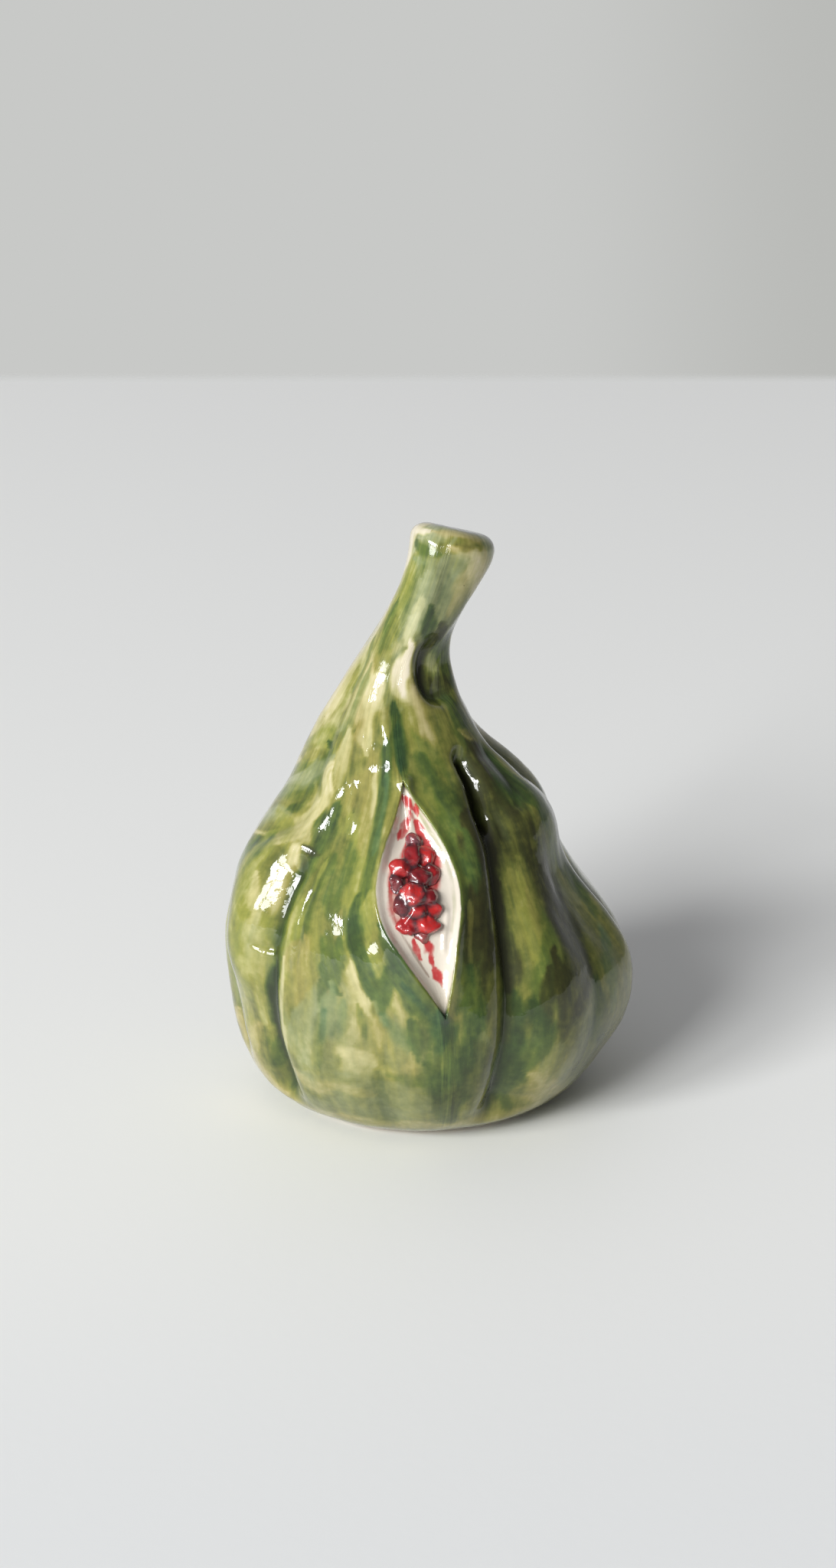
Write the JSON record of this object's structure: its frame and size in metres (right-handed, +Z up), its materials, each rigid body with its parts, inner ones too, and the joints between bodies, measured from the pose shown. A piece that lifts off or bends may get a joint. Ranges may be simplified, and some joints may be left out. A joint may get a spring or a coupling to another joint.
{
  "type": "glazed ceramic fig",
  "caption": "Hand-modelled ornamental fig in painted, glazed ceramic: folded pear-shaped body on a flat foot, leaning stem, and a slit with red seeds.",
  "frame": {"origin": "centre of the bounding box's bottom face, on the flat foot", "axes": "+Z up along the fig's height; the slit faces -Y; the stem leans to +X and a little to +Y"},
  "size_m": [0.0527, 0.0525, 0.0758],
  "materials": {
    "painted_glazed_ceramic": "hand-painted in greens over cream clay, red seeds in a white slit, under a clear glossy glaze"
  },
  "bodies": {
    "root": {"ceramic_fig": "painted_glazed_ceramic"}
  },
  "joints": []
}
